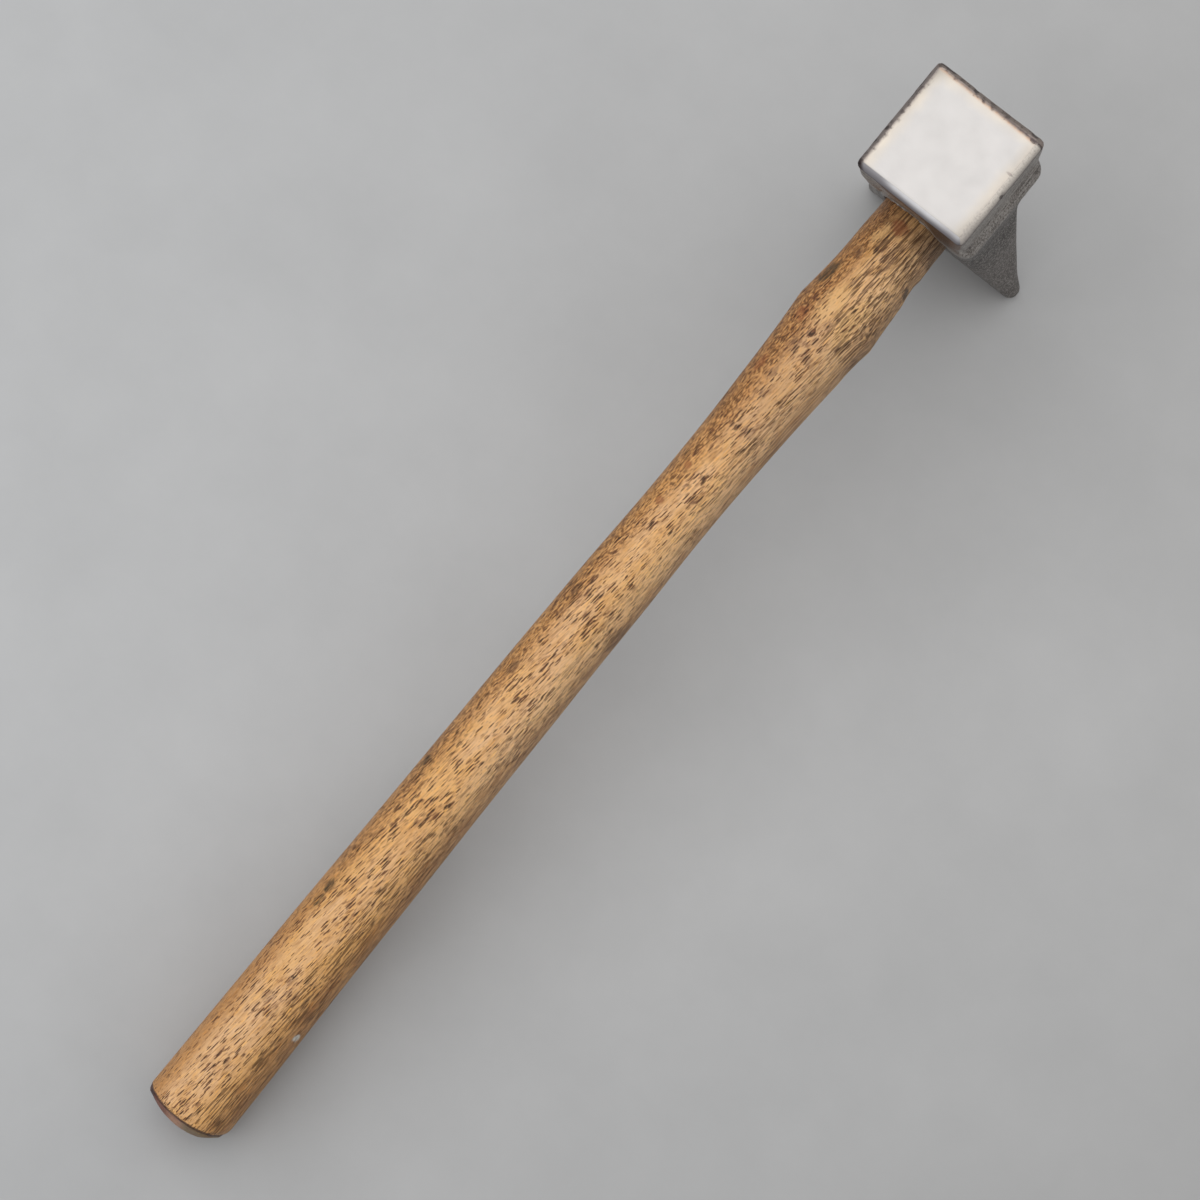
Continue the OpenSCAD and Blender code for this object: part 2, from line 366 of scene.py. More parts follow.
@dataclass(frozen=True)
class HandleWood:
    """Oiled, worn hardwood with short dark pores along its grain; its colour also carries a painted highlight, painted
    shade and painted shadows.
    """

    gold: Colour = from_screen(222, 172, 112)
    rose: Colour = from_screen(222, 178, 132)
    ochre: Colour = from_screen(200, 146, 82)
    umber: Colour = from_screen(158, 108, 58)
    amber: Colour = from_screen(188, 132, 72)
    pale: Colour = from_screen(240, 200, 146)
    russet: Colour = from_screen(84, 50, 26)
    dusk: Colour = from_screen(192, 154, 116)
    # Painted highlight: the right half of the top is painted paler, as if the light caught its ridge there; golden
    # towards the butt.
    right_band_painted_highlight: Colour = from_screen(238, 197, 152)
    right_band_painted_highlight_at_butt: Colour = from_screen(222, 170, 106)
    # The right edge's colour: partly the wood's own darker tone, partly painted shade where the flank turns from the
    # light.
    right_edge_tone_and_painted_shade: Colour = from_screen(126, 74, 32)
    pore: Colour = from_screen(54, 33, 22)
    pore_red: Colour = from_screen(104, 60, 38)
    furrow: Colour = from_screen(74, 48, 26)
    smoke: Colour = from_screen(84, 56, 30)
    # Near the head: oil stain and painted shade of the head.
    neck_stain_and_head_shade: Colour = from_screen(88, 54, 26)
    end_dark: Colour = from_screen(58, 38, 38)
    end_red: Colour = from_screen(136, 82, 62)
    end_pink: Colour = from_screen(190, 142, 114)
    end_olive: Colour = from_screen(140, 116, 84)
    grain_turn: float = -6.0
    butt_arris: float = -303.2
    end_bow: float = 0.014

    def make(self, axes: ToolAxes, stains: dict[StainOrShadow, Sequence[Spot]]) -> bpy.types.Material:
        """Builds the material.

        Args:
            axes: The tool's axes.
            stains: The places of the stains and of the painted chip shadow, by kind.

        Returns:
            The material.
        """
        g = Graph("handle_wood", axes)
        turn = self.grain_turn
        broad = g.noise(g.stretched((9, 42, 9), turn), detail=3, warp=0.5)
        mottle = g.noise(g.stretched((2.4, 5.5, 2.4), turn, (7, 3, 1)), detail=4, rough=0.6)
        fibre = g.noise(g.stretched((0.24, 4.5, 0.24), turn), detail=3, rough=0.65)
        streaks = g.noise(g.stretched((0.34, 12, 0.34), turn, (2, 8, 3)), detail=3, rough=0.6)
        ribs = g.noise(g.stretched((0.46, 40, 0.46), -4, (8, 4, 2)), detail=1, rough=0.4)
        wander = g.calc("MULTIPLY_ADD", g.noise(g.stretched((0.8, 1.8, 0.8), turn), detail=3, rough=0.6), 1.6, -0.8)
        wobble = g.calc("MULTIPLY_ADD", mottle, 5, -2.5)
        side = g.calc("ADD", g.x, wobble)
        to_head = g.between(g.y, -215, -85)
        to_butt = g.between(g.y, -175, -245)
        left = g.between(g.calc("MULTIPLY_ADD", to_head, -2.6, side), -3.5, -8.0)
        worn_left = g.calc("MULTIPLY", left, g.calc("MULTIPLY_ADD", g.between(g.y, -265, -200), 0.85, 0.15))
        shoulder = g.calc("MULTIPLY", g.between(g.y, -98, -76), g.between(g.y, -38, -54))
        right = g.between(side, 1.5, 7.5)
        neck = g.between(g.calc("ADD", g.y, wobble), -58, -50)
        near_head_stain_and_shade = g.between(g.calc("MULTIPLY_ADD", wobble, 2, g.y), -27, -14)
        # Painted shadow on the wood in the corner against the steel, right of the middle.
        painted_nook_shadow = g.calc("MULTIPLY", g.between(g.y, -21.5, -18.5), g.between(g.x, 3.0, 9.0))
        ink = g.spots(stains[StainOrShadow.INK], turn, wander)

        colour = g.mix(g.between(broad, 0.38, 0.62), self.gold, self.rose)
        colour = g.mix(g.calc("MULTIPLY", g.between(mottle, 0.46, 0.7), 0.55), colour, self.ochre)
        colour = g.mix(g.calc("MULTIPLY", shoulder, 0.6), colour, self.dusk)
        colour = g.mix(g.calc("MULTIPLY", left, 0.7), colour, self.amber)
        colour = g.mix(g.calc("MULTIPLY", g.calc("MULTIPLY", left, shoulder), 0.5), colour, self.umber)
        gloom = g.calc("MULTIPLY", g.between(side, -2.0, -6.0), g.between(g.y, -52, -40))
        colour = g.mix(g.calc("MULTIPLY", gloom, 0.75), colour, self.umber)
        # Painted highlight along the right half of the top: pale from the head to the middle, golden towards the butt.
        flank = g.mix(to_butt, self.right_band_painted_highlight, self.right_band_painted_highlight_at_butt)
        colour = g.mix(g.calc("MULTIPLY", right, 0.7), colour, flank)
        low_right = g.calc("MULTIPLY", to_butt, g.between(side, -1.5, 4.5))
        colour = g.mix(g.calc("MULTIPLY", low_right, 0.12), colour, self.amber)
        # The right edge darker and more orange, in streaks, less so near the neck: partly the wood's tone, partly
        # painted shade.
        bands = g.between(g.noise(g.stretched((1.2, 30, 1.2), turn), detail=3), 0.46, 0.62)
        right_edge_tone_and_shade_mask = g.calc("MULTIPLY", g.calc("MULTIPLY_ADD", bands, 0.6, 0.4), g.between(side, 6.8, 9.6))
        right_edge_tone_and_shade_mask = g.calc("MULTIPLY", right_edge_tone_and_shade_mask, g.calc("MULTIPLY_ADD", g.between(g.y, -75, -60), -0.55, 1.0))
        colour = g.mix(g.calc("MULTIPLY", right_edge_tone_and_shade_mask, 0.68), colour, self.right_edge_tone_and_painted_shade)
        colour = g.mix(g.calc("MULTIPLY", g.between(fibre, 0.49, 0.34), 0.7), colour, self.pale, "SOFT_LIGHT")
        colour = g.mix(g.calc("MULTIPLY", g.between(fibre, 0.5, 0.68), 0.7), colour, self.umber)
        colour = g.mix(g.calc("MULTIPLY", g.between(streaks, 0.54, 0.64), 0.45), colour, self.umber)

        worms = g.noise(g.stretched((0.36, 1.2, 0.36), turn), detail=2, warp=0.4)
        specks = g.calc("MULTIPLY", g.between(worms, 0.51, 0.58), worn_left)
        gleams = g.calc("MULTIPLY", g.between(worms, 0.47, 0.4), worn_left)
        colour = g.mix(g.calc("MULTIPLY", gleams, 0.6), colour, self.gold)
        colour = g.mix(g.calc("MULTIPLY", specks, 0.8), colour, self.russet)

        patchy = g.noise(g.stretched((6, 14, 6), turn, (4, 9, 2)), detail=2)
        bare = g.calc("MULTIPLY", g.between(g.calc("SUBTRACT", right, neck), 0.2, 1.0), 0.08)
        reach = g.calc("SUBTRACT", g.calc("MULTIPLY_ADD", g.between(patchy, 0.4, 0.6), 0.13, 0.22), bare)
        reach = g.calc("MULTIPLY_ADD", ink, 0.05, reach)
        reach = g.calc("MULTIPLY_ADD", g.between(g.y, -215, -250), -0.03, reach)
        reach = g.calc("MULTIPLY_ADD", g.between(g.y, -46, -36), -0.1, reach)
        bumpy = g.noise(g.stretched((0.5, 1.3, 0.5), turn, (6, 1, 4)), detail=2)
        ragged = g.calc("MULTIPLY_ADD", bumpy, 0.3, -0.15)
        pores = g.dashes((0.48, 4.4, 0.48), turn, (0, 0, 0), reach, ragged)
        small = g.dashes((0.42, 2.4, 0.42), turn - 4, (3, 5, 1), reach, ragged)
        thin = g.dashes((0.42, 10, 0.42), turn, (5, 2, 3), g.calc("MULTIPLY", reach, 0.8), ragged)
        colour = g.mix(g.calc("MULTIPLY", thin, 0.5), colour, self.umber)
        colour = g.mix(g.calc("MULTIPLY", small, 0.65), colour, self.pore_red)

        gate = g.between(g.noise(g.stretched((5, 40, 5), turn, (1, 7, 5)), detail=2), 0.36, 0.52)
        line_zone = g.calc("MULTIPLY", g.between(side, 1.5, 5.0), g.calc("MAXIMUM", gate, to_butt))
        lines = g.dashes((0.5, 16, 0.5), turn + 1, (2, 1, 6), g.calc("MULTIPLY", line_zone, 0.27), ragged)
        flank_ribs = g.noise(g.stretched((0.42, 34, 0.42), turn + 2, (3, 4, 7)), detail=1, rough=0.5)
        rib_zone = g.calc("MULTIPLY", g.between(side, 2.5, 6.0), g.calc("MULTIPLY_ADD", to_butt, 0.35, 0.5))
        hairs = g.calc("MULTIPLY", g.between(flank_ribs, 0.555, 0.6), rib_zone)
        furrow_zone = g.calc("MULTIPLY", neck, g.between(g.calc("MULTIPLY_ADD", g.y, 0.2, side), -9.5, -6.5))
        furrows = g.calc("MULTIPLY", g.between(ribs, 0.555, 0.59), furrow_zone)
        dark_lines = g.calc("MAXIMUM", g.calc("MAXIMUM", lines, hairs), furrows)
        colour = g.mix(g.calc("MULTIPLY", dark_lines, 0.8), colour, self.furrow)

        haze = g.noise(g.stretched((1.3, 4.5, 1.3), turn, (5, 2, 8)), detail=5, rough=0.7)
        haze = g.calc("MULTIPLY", g.between(haze, 0.52, 0.6), g.between(g.calc("MULTIPLY_ADD", side, -0.9, g.y), -36, -20))
        colour = g.mix(g.calc("MULTIPLY", haze, 0.32), colour, self.smoke)
        # Darker near the head, less so at the right edge: partly oil stain, partly painted shade of the head over the
        # handle.
        near_head_stain_and_shade = g.calc("MULTIPLY", near_head_stain_and_shade, g.calc("MULTIPLY_ADD", g.between(g.x, 5.5, 9.0), -0.7, 1.0))
        colour = g.mix(g.calc("MULTIPLY", near_head_stain_and_shade, 0.4), colour, self.neck_stain_and_head_shade)
        stain = g.calc("MULTIPLY", near_head_stain_and_shade, g.between(mottle, 0.5, 0.6))
        colour = g.mix(g.calc("MULTIPLY", stain, 0.5), colour, self.smoke)
        # Painted shadow at the steel, in the pores' colour.
        colour = g.mix(g.calc("MULTIPLY", painted_nook_shadow, 0.4), colour, self.pore)
        broken = g.calc("MULTIPLY_ADD", g.between(fibre, 0.36, 0.56), 0.7, 0.3)
        # Stains, and the painted shadow in the chip.
        for kind, marks in stains.items():
            tint, strength = kind.value
            mask = ink if kind is StainOrShadow.INK else g.spots(marks, turn, wander)
            colour = g.mix(g.calc("MULTIPLY", g.calc("MULTIPLY", mask, broken), strength), colour, tint)
        dark = g.mix(g.between(bumpy, 0.42, 0.58), self.pore, self.pore_red)
        colour = g.mix(g.calc("MULTIPLY", pores, 0.92), colour, dark)

        bowed = g.calc("MULTIPLY_ADD", g.calc("MULTIPLY", g.x, g.x), -self.end_bow, g.y)
        cut = g.calc("MULTIPLY_ADD", wander, 0.4, bowed)
        end = g.mix(g.between(g.x, -8.5, -5.0), self.end_dark, self.end_red)
        end = g.mix(g.between(g.x, -3.5, -0.5), end, self.end_pink)
        end = g.mix(g.between(g.x, 1.0, 4.0), end, self.end_olive)
        end = g.mix(g.calc("MULTIPLY", g.between(mottle, 0.45, 0.65), 0.5), end, self.end_red)
        colour = g.mix(g.between(cut, self.butt_arris + 0.25, self.butt_arris - 0.25), colour, end)
        arris = g.between(g.calc("ABSOLUTE", g.calc("SUBTRACT", cut, self.butt_arris)), 0.5, 0.15)
        colour = g.mix(g.calc("MULTIPLY", arris, 0.8), colour, self.end_dark)

        dents = g.calc("MAXIMUM", pores, g.calc("MULTIPLY", dark_lines, 0.8))
        grain = g.calc("MULTIPLY_ADD", fibre, 0.5, g.calc("MULTIPLY", mottle, 0.4))
        normal = g.relief(g.calc("SUBTRACT", grain, dents), 0.00025)
        gloss = g.calc("MULTIPLY_ADD", g.calc("MAXIMUM", dents, haze), 0.2, g.calc("MULTIPLY_ADD", mottle, 0.12, 0.44))
        return g.dress(Base_Color=colour, Roughness=gloss, Normal=normal, Specular_IOR_Level=0.35)


@dataclass(frozen=True)
class HeadSteel:
    """Forged steel, dark on its sides and polished bright on its striking face, with painted shade in the valley under
    the cheek and painted light on its chamfers and near side.
    """

    side: Colour = from_screen(156, 150, 145)
    # Painted shade of the valley under the cheek; also the dark of grinding marks and specks.
    dark_grind_and_valley_shade: Colour = from_screen(60, 55, 52)
    flare: Colour = from_screen(108, 102, 98)
    worn: Colour = from_screen(192, 187, 182)
    rust: Colour = from_screen(104, 88, 78)
    face: Colour = from_screen(175, 172, 170)
    warm: Colour = from_screen(187, 177, 163)
    grey: Colour = from_screen(136, 130, 120)
    bevel: Colour = from_screen(142, 137, 133)
    # Painted reflection and shade on the right chamfer and the near chamfer.
    right_chamfer_painted_highlight: Colour = from_screen(208, 200, 190)
    right_chamfer_painted_shade: Colour = from_screen(138, 132, 128)
    near_chamfer_painted_sky: Colour = from_screen(206, 205, 207)
    near_chamfer_painted_shade: Colour = from_screen(116, 113, 117)
    # Painted shadow where the steel meets the wood.
    painted_junction_shadow: Colour = from_screen(50, 34, 24)
    # Painted shade and reflection of the wood on the near side of the steel.
    painted_shade_and_wood_reflection: Colour = from_screen(104, 78, 61)
    far_dark: Colour = from_screen(156, 144, 137)
    rim: Colour = from_screen(104, 94, 92)
    rim_pale: Colour = from_screen(146, 136, 132)
    nick: Colour = from_screen(46, 36, 38)
    rim_brown: Colour = from_screen(170, 136, 112)
    half: float = 16.7
    shift: float = 0.5
    rim_left: float = 1.5
    rim_far: float = 1.8

    def make(self, axes: ToolAxes, nicks: Sequence[Spot]) -> bpy.types.Material:
        """Builds the material.

        Args:
            axes: The tool's axes.
            nicks: The nicks in the rim of the face.

        Returns:
            The material.
        """
        g = Graph("head_steel", axes)
        soft = g.noise(g.stretched((6, 6, 6)), detail=4, rough=0.55)
        speck = g.noise(g.stretched((0.5, 0.5, 0.5)), detail=3, rough=0.6)
        along = g.noise(g.stretched((0.6, 9, 0.6), 3), detail=3, rough=0.6)
        across = g.noise(g.stretched((9, 0.6, 0.6), 3), detail=3, rough=0.6)
        cheek = g.between(g.calc("SUBTRACT", g.calc("ABSOLUTE", g.x), g.calc("ABSOLUTE", g.y)), -1.0, 1.0)
        grind = g.calc("MULTIPLY_ADD", cheek, g.calc("SUBTRACT", along, across), across)
        strokes = g.calc("MULTIPLY_ADD", g.between(g.z, -60, -25), 0.45, 0.15)

        sand = g.noise(g.stretched((0.5, 0.5, 0.8)), detail=2, rough=0.6)
        # Painted shade: the sides darken below the cheek into the valley above the flare, where the cheek shades them;
        # the flare below is lighter again.
        colour = g.mix(g.between(g.z, -22, -40), self.side, self.dark_grind_and_valley_shade)
        colour = g.mix(g.between(g.z, -50, -72), colour, self.flare)
        colour = g.mix(g.calc("MULTIPLY", g.between(grind, 0.5, 0.6), strokes), colour, self.worn)
        colour = g.mix(g.calc("MULTIPLY", g.between(grind, 0.48, 0.36), strokes), colour, self.dark_grind_and_valley_shade)
        colour = g.mix(g.calc("MULTIPLY", g.between(soft, 0.5, 0.75), 0.1), colour, self.dark_grind_and_valley_shade)
        speckled = g.calc("MULTIPLY_ADD", g.between(g.z, -32, -18), 0.25, 0.3)
        colour = g.mix(g.calc("MULTIPLY", g.between(speck, 0.52, 0.66), speckled), colour, self.rust)
        colour = g.mix(g.calc("MULTIPLY", g.between(sand, 0.5, 0.62), 0.4), colour, self.worn)
        colour = g.mix(g.calc("MULTIPLY", g.between(sand, 0.49, 0.36), 0.5), colour, self.dark_grind_and_valley_shade)

        wander = g.calc("MULTIPLY_ADD", g.noise(g.stretched((1.1, 1.1, 1.1)), detail=3, rough=0.6), 0.9, -0.45)
        drift = g.calc("MULTIPLY_ADD", soft, 4, -2)
        left = g.calc("ADD", g.x, self.half)
        right = g.calc("SUBTRACT", self.half, g.x)
        near = g.calc("ADD", g.y, self.half - self.shift)
        far = g.calc("SUBTRACT", self.half + self.shift, g.y)
        far_room = g.calc("MULTIPLY_ADD", g.x, -0.015, g.calc("SUBTRACT", far, self.rim_far))
        left_room = g.calc("SUBTRACT", left, self.rim_left)
        on_top = g.between(g.z, -2.0, -1.5)
        chipped = g.spots(nicks, 0, wander)
        chips = g.noise(g.stretched((1.5, 1.5, 1.5), 0, (3, 7, 1)), detail=3, rough=0.6)
        bites = g.calc("MULTIPLY_ADD", g.between(chips, 0.54, 0.68), -0.35, g.calc("MULTIPLY", wander, 0.4))
        inside = g.between(g.calc("ADD", bites, far_room), -0.5, 0.4)
        inside = g.calc("MULTIPLY", inside, g.between(g.calc("ADD", bites, left_room), -0.8, 0.7))
        bright = g.calc("MULTIPLY", on_top, inside)

        warm_room = g.calc("MINIMUM", g.calc("MINIMUM", left, far), right)
        warmth = g.between(g.calc("ADD", warm_room, drift), 5.5, 1.0)
        bare = g.mix(g.calc("MULTIPLY", warmth, 0.8), self.face, self.warm)
        corner = g.calc("ADD", g.calc("ADD", left, far), drift)
        bare = g.mix(g.calc("MULTIPLY", g.between(corner, 10.0, 2.0), 0.7), bare, self.grey)
        shaded = g.calc("MULTIPLY", g.between(left, 3.4, 0.4), g.between(g.y, -4, 9))
        bare = g.mix(g.calc("MULTIPLY", shaded, 0.5), bare, self.grey)
        haze = g.between(g.noise(g.stretched((2.2, 2.2, 2.2)), detail=5, rough=0.7), 0.5, 0.8)
        bare = g.mix(g.calc("MULTIPLY", haze, 0.08), bare, self.worn)
        stained = g.between(g.calc("MULTIPLY_ADD", wander, 0.7, far_room), 1.0, 0.1)
        patched = g.calc("MULTIPLY_ADD", g.between(wander, -0.12, 0.16), 0.5, 0.3)
        bare = g.mix(g.calc("MULTIPLY", stained, patched), bare, self.rim_brown)
        worn_from = g.calc("MULTIPLY_ADD", g.between(g.y, -2, -15), -1.2, right)
        ragged = g.calc("MULTIPLY_ADD", wander, 1.3, worn_from)
        grit = g.between(speck, 0.5, 0.62)
        worn_side = g.calc("MULTIPLY", g.between(ragged, 2.4, 1.0), g.calc("MULTIPLY_ADD", grit, 0.5, 0.25))
        bare = g.mix(worn_side, bare, self.bevel)
        bare = g.mix(g.calc("MULTIPLY", g.between(right, 5.0, 1.0), 0.36), bare, self.bevel)
        low_corner = g.between(g.calc("ADD", g.calc("ADD", right, near), drift), 12.0, 4.0)
        bare = g.mix(g.calc("MULTIPLY", low_corner, 0.28), bare, self.grey)
        bare = g.mix(g.calc("MULTIPLY", g.between(near, 2.4, 1.3), 0.2), bare, self.grey)
        # Painted reflection and shade on the right and the near chamfer. The right one is pale at the face and darker
        # lower down and towards the near side. The near one is a pale painted reflection of the sky that darkens lower
        # down and towards both ends.
        down = g.between(g.z, -0.1, -1.75)
        right_chamfer_painted_light = g.mix(down, self.right_chamfer_painted_highlight, self.right_chamfer_painted_shade)
        right_chamfer_painted_light = g.mix(g.calc("MULTIPLY", g.between(g.y, -3, -13), 0.4), right_chamfer_painted_light, self.right_chamfer_painted_shade)
        right_chamfer_painted_light = g.mix(g.calc("MULTIPLY", grit, 0.25), right_chamfer_painted_light, self.rim)
        near_chamfer_painted_light = g.mix(g.between(g.z, -0.1, -1.2), self.near_chamfer_painted_sky, self.near_chamfer_painted_shade)
        near_chamfer_painted_light = g.mix(g.calc("MULTIPLY", g.between(right, 10, 4), 0.35), near_chamfer_painted_light, self.near_chamfer_painted_shade)
        near_chamfer_painted_light = g.mix(g.calc("MULTIPLY", g.between(left, 12.0, 7.0), 0.8), near_chamfer_painted_light, self.near_chamfer_painted_shade)
        slope = g.mix(g.between(g.calc("SUBTRACT", near, right), -0.2, 0.2), near_chamfer_painted_light, right_chamfer_painted_light)
        facing = g.calc("MINIMUM", near, right)
        painted_chamfer_mask = g.calc("MULTIPLY", g.between(g.z, -0.02, -0.14), g.between(facing, 1.75, 1.5))
        bare = g.mix(painted_chamfer_mask, bare, slope)
        edge = g.mix(g.between(left, 3.0, 2.0), self.rim, self.rim_pale)
        edge = g.mix(g.between(g.calc("MULTIPLY_ADD", wander, 0.5, far), 1.2, 1.6), self.far_dark, edge)
        colour = g.mix(g.between(g.z, -2.6, -1.8), colour, edge)
        # Painted shade and reflection: the near side, from just under the face down to z -20 and from x -7.5
        # rightwards, is painted dark brown, as if shaded and mirroring the wood.
        painted_shade_and_wood_reflection = g.calc("MULTIPLY", g.between(near, 1.2, 0.5), g.between(g.z, -1.5, -2.2))
        painted_shade_and_wood_reflection = g.calc("MULTIPLY", painted_shade_and_wood_reflection, g.calc("MULTIPLY", g.between(g.z, -30, -20), g.between(g.x, -10.0, -7.5)))
        colour = g.mix(g.calc("MULTIPLY", painted_shade_and_wood_reflection, 0.85), colour, self.painted_shade_and_wood_reflection)
        # Painted shadow: a near-black band on the near side below the face, where the steel meets the wood, from about
        # x 3.5 to x 13.
        painted_junction_shadow_mask = g.calc("MULTIPLY", g.between(g.x, 3.5, 7.5), g.between(g.x, 14.0, 12.5))
        painted_junction_shadow_mask = g.calc("MULTIPLY", painted_junction_shadow_mask, g.calc("MULTIPLY", g.between(near, 1.2, 0.5), g.between(g.z, -1.4, -2.4)))
        colour = g.mix(g.calc("MULTIPLY", painted_junction_shadow_mask, 0.55), colour, self.painted_junction_shadow)
        grimy = g.calc("MULTIPLY", g.between(chips, 0.5, 0.6), g.between(g.z, -2.4, -1.6))
        grimy = g.calc("MULTIPLY", grimy, g.between(g.calc("MINIMUM", left, far), 2.6, 1.6))
        colour = g.mix(g.calc("MULTIPLY", grimy, 0.4), colour, self.nick)
        colour = g.mix(bright, colour, bare)
        colour = g.mix(g.calc("MULTIPLY", chipped, 0.7), colour, self.nick)
        dark_corner = g.calc("MULTIPLY", g.between(g.calc("ADD", left, near), 3.4, 2.0), on_top)
        colour = g.mix(g.calc("MULTIPLY", dark_corner, 0.8), colour, self.nick)
        dent = g.spots([Spot((14.7, 5.3, 0.0), (0.9, 0.35, 1.2))], 0, wander)
        colour = g.mix(g.calc("MULTIPLY", dent, 0.45), colour, self.rim)

        pitted = g.calc("MULTIPLY_ADD", grind, 0.5, g.calc("MULTIPLY", speck, 0.5))
        hush = g.calc("MULTIPLY_ADD", bright, -0.95, 1.0)
        normal = g.relief(g.calc("MULTIPLY", pitted, hush), 0.0003)
        gloss = g.calc("MULTIPLY_ADD", bright, -0.04, g.calc("MULTIPLY_ADD", soft, 0.15, 0.36))
        metal = g.calc("MULTIPLY_ADD", bright, 0.15, 0.8)
        # The painted chamfers are made almost non-metallic and rougher, so that their painted light shows.
        dull = g.calc("MULTIPLY", painted_chamfer_mask, bright)
        metal = g.calc("MULTIPLY_ADD", dull, -0.95, metal)
        gloss = g.calc("MULTIPLY_ADD", dull, 0.3, gloss)
        return g.dress(Base_Color=colour, Roughness=gloss, Metallic=metal, Normal=normal)


@dataclass(frozen=True)
class WedgeWood:
    """End grain of the wooden wedge, darkened by oil and dirt."""

    light: Colour = from_screen(172, 130, 88)
    dark: Colour = from_screen(112, 78, 50)

    def make(self, axes: ToolAxes) -> bpy.types.Material:
        """Builds the material.

        Args:
            axes: The tool's axes.

        Returns:
            The material.
        """
        g = Graph("wedge_wood", axes)
        rings = g.noise(g.stretched((0.5, 8, 2.5)), detail=4, rough=0.6)
        distance, _ = g.cells(g.stretched((0.5, 4, 0.5)))
        colour = g.mix(g.between(rings, 0.35, 0.65), self.light, self.dark)
        colour = g.mix(g.between(distance, 0.25, 0.1), colour, self.dark)
        normal = g.relief(g.calc("ADD", rings, distance), 0.00015)
        return g.dress(Base_Color=colour, Roughness=g.calc("MULTIPLY_ADD", rings, 0.2, 0.5), Normal=normal)


@dataclass(frozen=True)
class WedgeSteel:
    """Dull steel of the cross wedge, struck and lightly rusted at its end."""

    steel: Colour = from_screen(128, 124, 118)
    rust: Colour = from_screen(106, 74, 52)

    def make(self, axes: ToolAxes) -> bpy.types.Material:
        """Builds the material.

        Args:
            axes: The tool's axes.

        Returns:
            The material.
        """
        g = Graph("wedge_steel", axes)
        spots = g.noise(g.stretched((1.2, 1.2, 1.2)), detail=5, rough=0.7)
        dents = g.noise(g.stretched((2.0, 2.0, 0.8)), detail=2)
        colour = g.mix(g.between(spots, 0.48, 0.68), self.steel, self.rust)
        normal = g.relief(g.calc("ADD", spots, dents), 0.0002)
        metal = g.calc("MULTIPLY_ADD", g.between(spots, 0.48, 0.68), -0.6, 0.9)
        rough = g.calc("MULTIPLY_ADD", spots, 0.3, 0.3)
        return g.dress(Base_Color=colour, Roughness=rough, Metallic=metal, Normal=normal)


def deselect() -> None:
    """Leaves no object selected."""
    for item in bpy.context.view_layer.objects:
        item.select_set(False)


def fine_skin(node: bpy.types.Object, name: str, grain: float) -> bpy.types.Object:
    """Copies a solid and remeshes the copy into small, even faces.

    Args:
        node: The CAD node.
        name: The copy's name.
        grain: The faces' size, in metres.

    Returns:
        The new object, with its place in its mesh.
    """
    deselect()
    node.select_set(True)
    bpy.context.view_layer.objects.active = node
    bpy.ops.object.duplicate()
    skin = bpy.context.view_layer.objects.active
    skin.name = name
    skin.data.name = name
    skin.parent = None
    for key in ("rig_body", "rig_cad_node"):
        if key in skin:
            del skin[key]
    bpy.ops.object.mode_set(mode="EDIT")
    bpy.ops.mesh.select_all(action="SELECT")
    bpy.ops.mesh.remove_doubles(threshold=1e-6)
    bpy.ops.object.mode_set(mode="OBJECT")
    remesh = skin.modifiers.new("fine", "REMESH")
    remesh.mode = "VOXEL"
    remesh.voxel_size = grain
    bpy.ops.object.modifier_apply(modifier=remesh.name)
    deselect()
    return skin


def carve(skin: bpy.types.Object, axes: ToolAxes, move_at: Callable[[Vector, Vector], Vector]) -> None:
    """Moves each point of a mesh.

    Args:
        skin: The object.
        axes: The tool's axes.
        move_at: Gives the move, in millimetres, from a point and its normal, all in the tool's axes.
    """
    to_row = axes.to_row()
    to_tool = to_row.inverted()
    turn = to_tool.to_3x3().normalized()
    back = turn.inverted()
    mesh = skin.data
    moved = []
    for vertex in mesh.vertices:
        move = move_at(to_tool @ vertex.co, turn @ vertex.normal)
        moved.append(vertex.co + back @ move * MM)
    for vertex, place in zip(mesh.vertices, moved):
        vertex.co = place
    mesh.update()


def fade(value: float, low: float, high: float) -> float:
    """A soft step.

    Args:
        value: The value.
        low: The value that gives 0.
        high: The value that gives 1.

    Returns:
        From 0 to 1.
    """
    share = min(1.0, max(0.0, (value - low) / (high - low)))
    return share * share * (3 - 2 * share)


